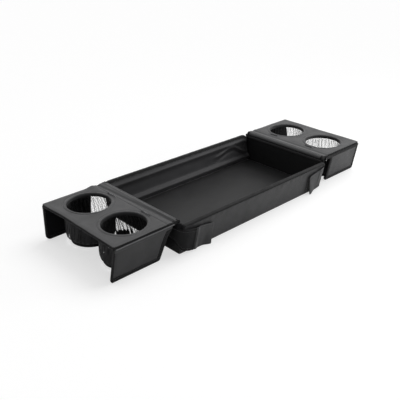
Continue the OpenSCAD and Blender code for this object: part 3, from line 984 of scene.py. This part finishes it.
# %% Flap binding, thread and seam
tape_w = 8.0
seam_x0 = {near: wing_low[0] + 4.4, far: wing_low[0] + 17.5}
tape_section = np.array([[tape_w, 0.2], [tape_w - 0.5, tape_t], [1.4, tape_t + 0.25], [0.3, 0.5],
                         [-0.15, -flap_t / 2], [0.3, -flap_t - 0.5], [1.4, -flap_t - tape_t - 0.25],
                         [tape_w - 0.5, -flap_t - tape_t], [tape_w, -flap_t - 0.2],
                         [tape_w - 1, -flap_t + 0.1], [1.2, -flap_t + 0.1], [0.8, -flap_t / 2],
                         [1.2, -0.1], [tape_w - 1, -0.1], [tape_w, 0.2]])
for (sx, sy), quarter in quarters.items():
    rows = [on_flap_edge(taped_edge(g, sx, sy), n, sx, sy) for g, n in tape_section]
    make_piece(f"{quarter}_flap_tape", strips(closed_ends(np.stack(rows, 1))), "binding_tape",
               f"{quarter}_flap", [f"{quarter}_flap_binding"])
    edge = taped_edge(tape_w - 1.4, sx, sy)
    edge = edge[edge[:, 1] < -3]
    rows = []
    for n, way in ((tape_t + 0.02, 1), (-flap_t - tape_t - 0.02, -1)):
        out = (on_flap(0, 1, 0, sx, sy) - on_flap(0, 0, 0, sx, sy)) * way
        grid, cloth = stitches(on_flap_edge(edge, n, sx, sy), out)
        rows.append((grid[:, :, ::sx * sy * way], cloth))
    make_piece(f"{quarter}_flap_thread", rows, "thread", f"{quarter}_flap")
    x = np.linspace(seam_x0[sy], flap_x1, 60)[:, None]
    on_tape = wing_mid_y + np.array([0.2, 0.9, 1.0]), wing_low[2] + np.array([0.9, 0.4, -0.4])
    wing_part = place(sx * x, sy * on_tape[0], on_tape[1])
    flap_part = on_flap(x, np.array([1.0, 0.95, 0.85, 0.3]), np.array([-0.7, -2.4, -4.2, -4.8]), sx, sy)
    roll = np.concatenate([wing_part, flap_part], 1)
    axis = joint_at[f"{quarter}_flap_swing"] / 1000
    blend = f"{sides[sx]}_wing", f"{quarter}_flap", axis + (0, 0, 0.0015), axis - (0, 0, 0.003)
    make_piece(f"{quarter}_flap_seam", strips(roll), "cover_cloth" if sx == left else "binding_tape",
               blend, facing=(0, sy, 0), thickness=0.6)

# %% [markdown]
# ## End walls and hinge strips
#
# Each end wall is a board in a sleeve, rounded at its heel and raised at its lower corners: smooth
# lining inside, and outside the near-black backing, whose colour is painted shade for the face under the
# wing. Along its top runs a padded strip of cover cloth, folded twice, that the wing hangs on. Seen from
# the tray the two folds are two thin bands under the rim. All of them are sections carried straight along
# the depth of the tray, and tape caps close the strip's two ends.

# %% Straight sections
x_in, x_out = end_low[0], end_high[0]
heel_r = 14.0
corner_lift = 13.0
corner_y = 80, 100


def straight(section, half, sx, sway, seed, flare=0.0, round_r=0.0, lift=0.0, count=90):
    """A closed section of (x, z) carried along Y, with a slow sway of its x. The flare widens it
    towards the top, round_r rounds its upright edges, and lift raises its bottom corners."""
    y = half * np.sin(np.linspace(-np.pi / 2, np.pi / 2, count))[:, None]
    x, z = section.T
    into = np.clip((abs(y) - half + round_r) / max(round_r, 1e-6), 0, 1)
    draw_in = round_r * (1 - np.sqrt(1 - into**2)) * (x > x_in + 2)
    up = lift * ease(abs(y), *corner_y) * (1 - ease(z, 12, 45))
    wide = 1 + flare * np.clip((z - 8) / 58, 0, 1)
    return closed_ends(place(sx * (x - draw_in + sway * ripple(z, y, 60, seed)), y * wide, z + up))


def heel(x, y):
    """Height of the tray's skin over the ground at its two ends: a quarter circle, raised at the corners."""
    run = np.clip(abs(x) - (x_out - heel_r), 0, heel_r)
    lift = corner_lift * ease(abs(y), *corner_y) * ease(abs(x), x_out - 30, x_out - 2)
    return heel_r - np.sqrt(heel_r**2 - run**2) + lift


# %% End sleeves and strips
strip_x = strip_high[0] - x_in
lining_section = np.array([[1.2, 65.9], [0.3, 65.9], [-0.1, 60], [-0.2, 46], [-0.2, 32], [-0.1, 18],
                           [0.1, 11], [0.2, 1.6], [1.2, 1.6], [1.2, 65.9]]) + (x_in, 0)
sleeve_section = np.concatenate([
    [[x_in + 1.3, 4.2]], arc(x_out - heel_r, heel_r, heel_r, -47, 0, 10),
    [[x_out + 0.15, 34], [x_out + 0.1, 52], [x_out - 0.1, 65.9], [x_in + 1.3, 65.9], [x_in + 1.3, 4.2]]])
board_section = np.array([[1.7, 65], [1.7, 14], [3.0, 15], [4.8, 19], [4.8, 65], [1.7, 65]]) + (x_in, 0)
strip_section = np.array([[1.0, 58.9], [-0.3, 58.7], [-0.8, 59.3], [-1.1, 60.8], [-1.1, 62.6], [-0.8, 63.5],
                          [1.0, 64.0], [1.6, 64.7], [0.2, 65.4], [-0.9, 66.2], [-1.1, 67.4], [-0.6, 68.9],
                          [0.6, 70.4], [2.2, 71.5], [3.8, 72.1], [4.8, 72.0], [5.6, 71.4], [8, 71.2],
                          [strip_x - 0.6, 70.4], [strip_x, 69.5], [strip_x, 66.6], [strip_x - 0.6, 66.05],
                          [1.0, 66.05], [1.0, 58.9]]) + (x_in, top_z - 72)
half = end_high[1]
for sx, side in sides.items():
    for label, section, reach, finish, node, sway, shaped in (
            ("end_lining", lining_section, half - 0.3, "smooth_lining", "end_cover", 0.12, (0.06,)),
            # The sleeve's near-black backing is painted shade for the end's outer face under the wing.
            ("end_sleeve", sleeve_section, half, "backing_painted_shade", "end_cover", 0.1, (0.06, 7.0, corner_lift)),
            ("end_stiffener", board_section, half - 8, "stiff_board", "end_board", 0.0, (0, 0, corner_lift)),
            ("end_hem", strip_section, strip_high[1], "cover_cloth", "end_strip", 0.15, ())):
        grid = straight(section, reach, sx, sway, 61 + sx, *shaped)
        make_piece(f"{side}_{label}", strips(grid), finish, "tray", [f"{side}_{node}"])
    middle = np.array([x_in + 5.5, top_z - 4])
    wrap = middle + (strip_section[10:] - middle) * (1.07, 1.14)
    wrap = np.concatenate([wrap, wrap[:1]])
    caps = [straight(wrap, 2.6, sx, 0.1, 67 + sy, count=12) + (0, sy * (strip_high[1] - 2.1), 0)
            for sy in edges]
    make_piece(f"{side}_hem_ends", strips(*caps), "binding_tape", "tray")

# %% [markdown]
# ## Hinge cloth
#
# A wing folds up and over the tray, so the cloth over its hinge would have to bend through half a turn.
# It is a separate strip from the welt on the end wall, down into the groove and up on to the wing, set
# in place, and it does not follow the wing. It is sewn down along the wing's side, and the stitches round
# the holes are made with it.

# %% Hinge cloth and wing stitches
for sx, side in sides.items():
    x = np.linspace(hinge_x0, hinge_x1, 34)[:, None]
    y = np.linspace(-wing_mid_y + 0.2, wing_mid_y - 0.2, 110)[None, :]
    z = hinge_level(sx, x, y) - 0.45 * (1 - ease(x, hinge_x0, hinge_x0 + 0.9))
    z = z + 0.22 * ease(x, hinge_x1 - 12, hinge_x1 - 6) - 1.3 * ease(x, hinge_x1 - 2.2, hinge_x1)
    axis = joint_at[f"{side}_wing_fold"] / 1000
    blend = "tray", f"{side}_wing", axis - (sx * 0.0045, 0, 0), axis + (sx * 0.0045, 0, 0)
    make_piece(f"{side}_hinge_cloth", [(place(sx * x, y, z), place(x, y))], "cover_cloth", blend,
               facing=(0, 0, 1), thickness=0.6)
    rows = []
    for sy in edges:
        turn = np.linspace(0, 2 * np.pi, 200)
        x, y = hole_x + seam_ring * np.cos(turn), sy * (hole_y + seam_ring * np.sin(turn))
        rows.append(stitches(place(sx * x, y, wing_height(sx, x, y) + 0.12), (0, 0, 1), radius=0.24))
    y = np.linspace(-wing_mid_y + 3, wing_mid_y - 3, 120)
    x = np.full_like(y, hinge_x1 - 3.4)
    rows.append(stitches(place(sx * x, y, hinge_level(sx, x, y) + 0.08), (0, 0, 1)))
    make_piece(f"{side}_wing_thread", rows, "thread", f"{side}_wing")

# %% [markdown]
# ## Long walls: padded lining
#
# Inside, the long walls are padded, and the lining stands off its board in two soft rolls: one under the
# rim and one above the floor, with a valley between them. Near the far wall's right end the lining is
# too long for its board, so it droops in a slanting crease over a dark pocket. The lining's foot would
# stay with the floor when the wall folds in; this piece is set in place and follows neither.

# %% Wall outline and swell
wall_corner_r = {near: 4.0, far: 10.0}
upper_roll_v, lower_roll_v = 48.5, 8.8


def rim_rise(x, sy):
    """The far rim stands a little higher, most at its left end."""
    return (sy == far) * (3.8 - 1.4 * x / wall_x)


def wall_rim_height(x, sy):
    """Height of the wall's outline above its hinge: nearly level, with round ends."""
    r = wall_corner_r[sy]
    into = np.clip((abs(x) - (wall_x - r)) / r, 0, 1)
    return wall_top + rim_rise(x, sy) - r * (1 - np.sqrt(1 - into**2))


def lining_swell(x, v, sy):
    """How far the lining stands in from the board: two long rolls, slack, and the far crease."""
    upper = 3.6 * hump(v, upper_roll_v, 5.6) * (1 + 0.2 * ripple(x, 0 * x, 130, 81 + sy))
    lower = 4.2 * hump(v, lower_roll_v, 5.4) * (1 + 0.1 * ripple(x, 0 * x, 90, 83 + sy))
    slack = 0.4 * ripple(x, v, 50, 85 + sy) * hump(v, 27, 14)
    crease_v = 28 + 10 * ease(x, 95, 150) - 20 * ease(x, 152, 196)
    pocket = (sy == far) * ease(x, 80, 125) * (1 - ease(x, 197, 203))
    crease = pocket * (2.6 * hump(v, crease_v + 3.5, 4.0) - 1.5 * hump(v, crease_v - 4, 4.5))
    fold = (sy == far) * 2.4 * hump(x, 195.5, 3.0) * ease(v, 26, 34) * (1 - ease(v, 46, 52))
    return upper + lower + slack + crease + fold


# %% Padded linings
spread = np.linspace(-1, 1, 190)
wall_xs = (wall_x * (1.35 * spread - 0.35 * spread**3))[:, None]
for sy, edge in edges.items():
    low = np.maximum(heel(wall_xs, 0) - 4.3, 0) - 0.2
    v = low + (wall_rim_height(wall_xs, sy) - low) * np.linspace(0, 1, 52)
    swell = lining_swell(wall_xs, v, sy) * ease(v, -0.6, 4)
    blend = "tray", f"{edge}_wall", (0, sy * 0.099, 0.005), (0, sy * 0.1039, 0.0173)
    # The padding takes the lit copy of the lining, whose greyer colour is painted light.
    lining = make_piece(f"{edge}_wall_padding", [(on_wall(wall_xs, -swell, v, sy), place(wall_xs, v))],
                        "wall_lining_painted_light", blend, [f"{edge}_wall_lining"],
                        facing=(0, -sy, 0.2), thickness=1.0)
print("most swell", round(float(swell.max()), 1))

# %% [markdown]
# ## Long walls: outer cover, binding and loop patches
#
# The outer cloth is stretched over the board, with slight waves from sewing. The rim binding is the same
# kind of U section as on the flaps, carried up one end, round the corners and along the top. Under each
# corner tab a patch of loop tape is sewn on.


# %% Rim outline
def wall_outline(g, sy):
    """Ends and top of a long wall, drawn in by g: up one end, round, along the top, round and down."""
    r, x1, top = wall_corner_r[sy], wall_x, wall_top
    bend = max(r, g + 0.5)
    half = np.concatenate([line([x1 - g, top - 24], [x1 - g, top - r], 16)[:-1],
                           arc(x1 - bend, top - bend, bend - g, 0, 90, 14)])
    along = line([x1 - r, top - g], [r - x1, top - g], 140)[1:-1]
    edge = np.concatenate([half, along, half[::-1] * (-1, 1)])
    edge[:, 1] += rim_rise(edge[:, 0], sy)
    return edge


# %% Outer cover, rim binding and loop patches
rim_w = 5.6
rim_out_w = {near: 4.2, far: 5.6}
patch_wider = {left: 0, right: 10}
rim_section = np.array([[rim_w, -1.1], [rim_w - 0.5, -2.0], [3.2, -1.6], [1.0, -1.0], [-0.3, -0.4],
                        [-0.8, 1.2], [-0.85, 4.4], [-0.4, 6.4], [1.0, 7.2], [3.2, 7.3], [rim_w, 6.9],
                        [rim_w, 5.9], [0.6, 5.9], [0.2, 3], [0.6, 0.2], [rim_w - 0.5, -0.6], [rim_w, -1.1]])
for sy, edge in edges.items():
    wall = f"{edge}_wall"
    rise = np.linspace(0, 1, 26)[None, :]
    low = wall_foot + np.maximum(heel(wall_xs, 0) - 1.0, 0) + 3 * ease(abs(wall_xs), 185, 203)
    v = low + (wall_rim_height(wall_xs, sy) - low) * rise
    n = wall_t + 0.22 * ripple(wall_xs, v, 46, 91 + sy) * hump(rise, 0.5, 0.4)
    n = n - 0.6 * (1 - ease(v, wall_foot, -1.5))
    n = n + 0.35 * ripple(wall_xs, 0.4 * v, 17, 93 + sy) * hump(v, wall_top - 8, 5)
    make_piece(f"{wall}_cloth", [(on_wall(wall_xs, n, v, sy), place(wall_xs, v))], "cover_cloth", wall,
               [f"{wall}_cover"], facing=(0, sy, 0), thickness=0.9)
    rows = []
    for g, out in rim_section:
        x, v = wall_outline(g * rim_out_w[sy] / rim_w if out > 5 else g, sy).T
        wave = 0.12 * ripple(x, v, 14, 95 + sy)
        rows.append(on_wall(x, out + wave, v + wave, sy))
    make_piece(f"{wall}_tape", strips(closed_ends(np.stack(rows, 1))), "binding_tape", wall,
               [f"{wall}_binding"])
    out_way = on_wall(0, 1, 0, sy) - on_wall(0, 0, 0, sy)
    (x, v), (inner_x, inner_v) = (wall_outline(width - 1.2, sy).T for width in (rim_out_w[sy], rim_w))
    outer, cloth = stitches(on_wall(x, 7.2, v, sy), out_way)
    inner, _ = stitches(on_wall(inner_x, -1.95, inner_v, sy), -out_way)
    make_piece(f"{wall}_thread", [(outer, cloth), (inner[:, :, ::-1], cloth)], "thread", wall)
    patches = []
    for sx in sides:
        held = points_of(f"{wall}_loop_patches")
        held = held[held[:, 0] * sx > 0]
        held_n, held_v = wall_frame(held)
        held_x = abs(held[:, 0])
        x = np.linspace(held_x.min() - patch_wider[sx], held_x.max(), 50)[:, None]
        v = np.linspace(held_v.min(), held_v.max(), 40)[None, :]
        n = held_n.max() - 0.15 + 0.15 * ripple(x, v, 2.2, 97)
        patches.append((on_wall(sx * x, n, v, sy)[::sx], place(x, v)[::sx]))
    make_piece(f"{wall}_loops", patches, "loop_tape", wall, [f"{wall}_loop_patches"],
               facing=(0, sy, 0), thickness=0.6)

# %% [markdown]
# ## Corner tabs
#
# Each tab is a strap of doubled cloth, sewn to the end wall and brought round the corner on to the long
# wall, where its hooks hold on the loop patch. The path goes along the wall, round the corner on a soft
# bend and back along the end wall. When the tab is peeled its root would stay sewn down; here the strap
# is set in place and does not follow the tab. The left tab has a sharp crease where it leaves the patch.
# The root, beyond that crease on the left and past the start of the bend on the right, takes the darker
# binding tape as painted shade for the corner under the wing, so the strap is made as two pieces that
# meet along one row of points.

# %% Corner tabs
strap_t = 1.8
bend_r = 21.0
root_run = 8.0
tab_crease_x = 175.5
top_rise = {left: 9.5, right: 7.5}
end_slant = {left: 6.0, right: 8.0}
end_back = {left: 5.0, right: 0.0}
top_drop = {left: 1.5, right: 0.0}


def hem_loop(grid):
    """A path round a grid, three rows in from its edges."""
    return np.concatenate([grid[3:-3, 3], grid[-4, 3:-3], grid[3:-3, -4][::-1], grid[3, 3:-3][::-1]])


for (sx, sy), quarter in quarters.items():
    solid = points_of(f"{quarter}_tab")
    face_n, face_v = wall_frame(solid)
    x0, x1 = abs(solid[:, 0]).min(), abs(solid[:, 0]).max() + 0.6
    n1, v0, v1 = face_n.max() + 0.6, face_v.min(), face_v.max() - top_drop[sx]
    straight_run = x1 - bend_r - x0
    bend_run = bend_r * math.pi / 2
    s = np.linspace(0, straight_run + bend_run + root_run, 110)[:, None]
    share = np.linspace(0, 1, 30)[None, :]
    from_bend = s - straight_run
    phi = np.clip(from_bend / bend_r, 0, math.pi / 2)
    x = np.minimum(x0 + s, x1 - bend_r) + bend_r * np.sin(phi)
    n = n1 - bend_r * (1 - np.cos(phi)) - np.maximum(from_bend - bend_run, 0)
    tip = 2.5 - np.sqrt(6.25 - np.clip(2.5 - s, 0, 2.5) ** 2)
    low = v0 + tip + 3.5 * ease(x, 160, 185) + 4.5 * ease(x, 185, 203) + 20 * ease(from_bend, 8, 28)
    high = v1 - tip + top_rise[sx] * np.clip(s / straight_run, 0, 1.15)
    v = low + (high - low) * share
    at_end = 1 - ease(s, 0, 30)
    x = x + (end_slant[sx] * (0.5 - share) + end_back[sx]) * at_end
    crease_s = s - (tab_crease_x - x0)
    off = (0.6 + 5.4 * (1 - share) ** 2) * at_end**1.5 + 0.25 * ripple(s, v, 24, 101 + 2 * sx + sy)
    if sx == left:
        off = off + 2.6 * ease(x, 164, 173) * (1 - ease(crease_s, 0, 34))
        across = crease_s + 3.5 * (share - 0.5)
        off = off + 0.9 * hump(across, 2.6, 1.5) - 0.9 * hump(across, 0, 0.9) + 0.5 * hump(across, -2.4, 2)
    else:
        off = off + 0.9 * hump(from_bend, -4, 2.5) * ease(share, 0.2, 0.5)
    off = off - 0.28 * hump(np.minimum(np.minimum(s, v - low), high - v), 3.4, 0.9)
    grid = on_wall(sx * (x + off * np.sin(phi)), n + off * np.cos(phi), v, sy)
    cloth = place(s, v)
    axis = joint_at[f"{quarter}_tab_peel"] / 1000
    blend = ("tray", f"{quarter}_tab", axis - (0, sy * 0.003, 0), axis + (0, sy * 0.003, 0))
    facing = (0.5 * sx, sy, 0)
    root_nodes = [f"{sides[sx]}_tab_roots"] if sy == near else []
    cut = int(np.searchsorted(s[:, 0], tab_crease_x - x0 + 1 if sx == left else straight_run + 8))
    make_piece(f"{quarter}_strap", [(grid[:cut + 1], cloth[:cut + 1])], "cover_cloth", blend,
               [f"{quarter}_tab"], facing, strap_t)
    # The root's darker binding tape is painted shade for the corner under the wing.
    make_piece(f"{quarter}_strap_root", [(grid[cut:], cloth[cut:])], "binding_tape", blend, root_nodes,
               facing, strap_t)
    normal = unit(np.cross(np.gradient(grid, axis=0), np.gradient(grid, axis=1)))
    normal *= np.sign((normal * facing).sum())
    loop = hem_loop(grid)
    count = max(int(run_of(loop)[-1] / stitch_pitch), 2)
    out = paced(np.concatenate([loop, hem_loop(normal)], 1), count)[:, 3:]
    make_piece(f"{quarter}_strap_thread", [stitches(loop, out)], "thread", blend)

# %% [markdown]
# ## The floor of the tray
#
# A liner is laid over the floor board and tucked in along the walls, and a cloth bottom closes it from
# below. Both are nearly flat. The liner is drawn down at its edges and waves by a few tenths of a
# millimetre, which is enough to break up the reflection in it.


# %% Floor sheet
def floor_sheet(height, pitch, seed, tuck, wider=(0.0, 0.0)):
    """A rectangle with waves, whose height changes by tuck close to its edges."""
    half = liner_high[:2] + wider
    x = (half[0] - 0.1) * np.sin(np.linspace(-np.pi / 2, np.pi / 2, 130))[:, None]
    y = half[1] * np.sin(np.linspace(-np.pi / 2, np.pi / 2, 80))[None, :]
    inset = np.minimum(half[0] - abs(x), half[1] - abs(y))
    z = height - tuck * (1 - ease(inset, 0, 3.5)) + 0.22 * ripple(x, y, pitch, seed) * ease(inset, 0, 12)
    return place(x, y, z), place(x, y)


# %% Floor pieces
grid, cloth = floor_sheet(liner_high[2], 130, 111, 0.8, (x_in + 0.6 - liner_high[0], 0.8))
grid[..., 2] = np.maximum(grid[..., 2], heel(grid[..., 0], 0) + 1.5)
make_piece("floor_liner_sheet", [(grid, cloth)], "smooth_lining", "tray", ["floor_liner"],
           facing=(0, 0, 1), thickness=0.9)
grid, cloth = floor_sheet(0.25, 90, 112, -0.5)
grid[..., 2] += np.minimum(heel(grid[..., 0], grid[..., 1]), np.maximum(heel(grid[..., 0], 0), 2.8))
# The bottom cloth uses the same backing, whose near-black colour is painted shade.
make_piece("floor_bottom_cloth", [(grid, cloth)], "backing_painted_shade", "tray", ["floor_underside"],
           facing=(0, 0, -1), thickness=0.7)
grid, cloth = floor_sheet(liner_high[2] - 1.3, 200, 113, 0)
grid[..., 0] *= (x_out - heel_r + 1) / liner_high[0]
make_piece("floor_stiffener", [(grid, cloth)], "stiff_board", "tray", ["floor_board"],
           facing=(0, 0, 1), thickness=2.6)

# %% [markdown]
# ## Light, backdrop and floor
#
# The photograph is a studio shot on white: a broad light from the right, a weaker one from above and
# behind, a small softbox at the near right, and light that comes back up from the floor. The lamps stay
# at a plain level. The background is white because the floor and the world show as white to the camera
# and in reflections, not because more light falls on the tray.


# %% World
def seen(tree):
    """1 for rays from the camera, and for reflected and transmitted rays; otherwise 0."""
    path = tree.nodes.new("ShaderNodeLightPath").outputs
    direct = calc(tree, "MAXIMUM", path["Is Camera Ray"], path["Is Glossy Ray"])
    return calc(tree, "MAXIMUM", direct, path["Is Transmission Ray"])


world = bpy.data.worlds.new("studio")
bpy.context.scene.world = world
world.use_nodes = True
tree = world.node_tree
sky_level = 0.24
level = add(tree, "MapRange", {"Value": seen(tree), "To Min": sky_level, "To Max": 1.0})
join(tree, tree.nodes["Background"], {"Strength": level, "Color": (1, 1, 1, 1)})


# %% Lamps
def hang_lamp(name, kind, energy, place_at, aims_at):
    """A lamp at a place, turned towards a point."""
    lamp = bpy.data.objects.new(name, bpy.data.lights.new(name, kind))
    lamp.data.energy = energy
    lamp.location = place_at
    lamp.rotation_euler = (Vector(aims_at) - Vector(place_at)).to_track_quat("-Z", "Y").to_euler()
    bpy.context.scene.collection.objects.link(lamp)
    return lamp


def sun(name, strength, azimuth, elevation, spread_deg):
    """A broad even light from one direction: azimuth 0 is from the right, 90 from the far side."""
    a, e = math.radians(azimuth), math.radians(elevation)
    source = (math.cos(a) * math.cos(e), math.sin(a) * math.cos(e), math.sin(e))
    hang_lamp(name, "SUN", strength, source, (0, 0, 0)).data.angle = math.radians(spread_deg)


sun("right_light", 1.35, azimuth=-3, elevation=52, spread_deg=40)
sun("overhead_light", 0.7, azimuth=70, elevation=70, spread_deg=60)
softbox = hang_lamp("near_softbox", "AREA", 2.4, (0.66, -0.60, 0.36), (0.1, 0, 0))
softbox.data.shape = "RECTANGLE"
softbox.data.size, softbox.data.size_y = 0.5, 0.35
softbox.visible_camera = False

# %% White floor
tree, shader = start_finish("white_floor")
path = tree.nodes.new("ShaderNodeLightPath").outputs
mirrored = calc(tree, "MAXIMUM", path["Is Glossy Ray"], path["Is Transmission Ray"])
glow = added(tree, (path["Is Camera Ray"], 0.62), (mirrored, 0.15))
paper = shade_mix(tree, mirrored, (0.46, 0.46, 0.46), (0.95, 0.95, 0.95))
mixed = add(tree, "AddShader", {0: add(tree, "Emission", {"Color": (1, 1, 1, 1), "Strength": glow}),
                                1: add(tree, "BsdfDiffuse", {"Color": paper})})
join(tree, tree.nodes["Material Output"], {"Surface": mixed})
tree.nodes.remove(shader)
floor_mesh = bpy.data.meshes.new("white_floor")
reach = 12.0
floor_mesh.from_pydata([(-reach, -reach, 0), (reach, -reach, 0), (reach, reach, 0), (-reach, reach, 0)],
                       [], [(0, 1, 2, 3)])
floor_mesh.materials.append(finishes["white_floor"])
white_floor = bpy.data.objects.new("white_floor", floor_mesh)
bpy.context.scene.collection.objects.link(white_floor)
print("floor", 2 * reach, "m wide")

# %% [markdown]
# ## Finish
#
# The view transform is plain, so that a colour renders as it is written.

# %% Finish
bpy.context.scene.view_settings.view_transform = "Standard"
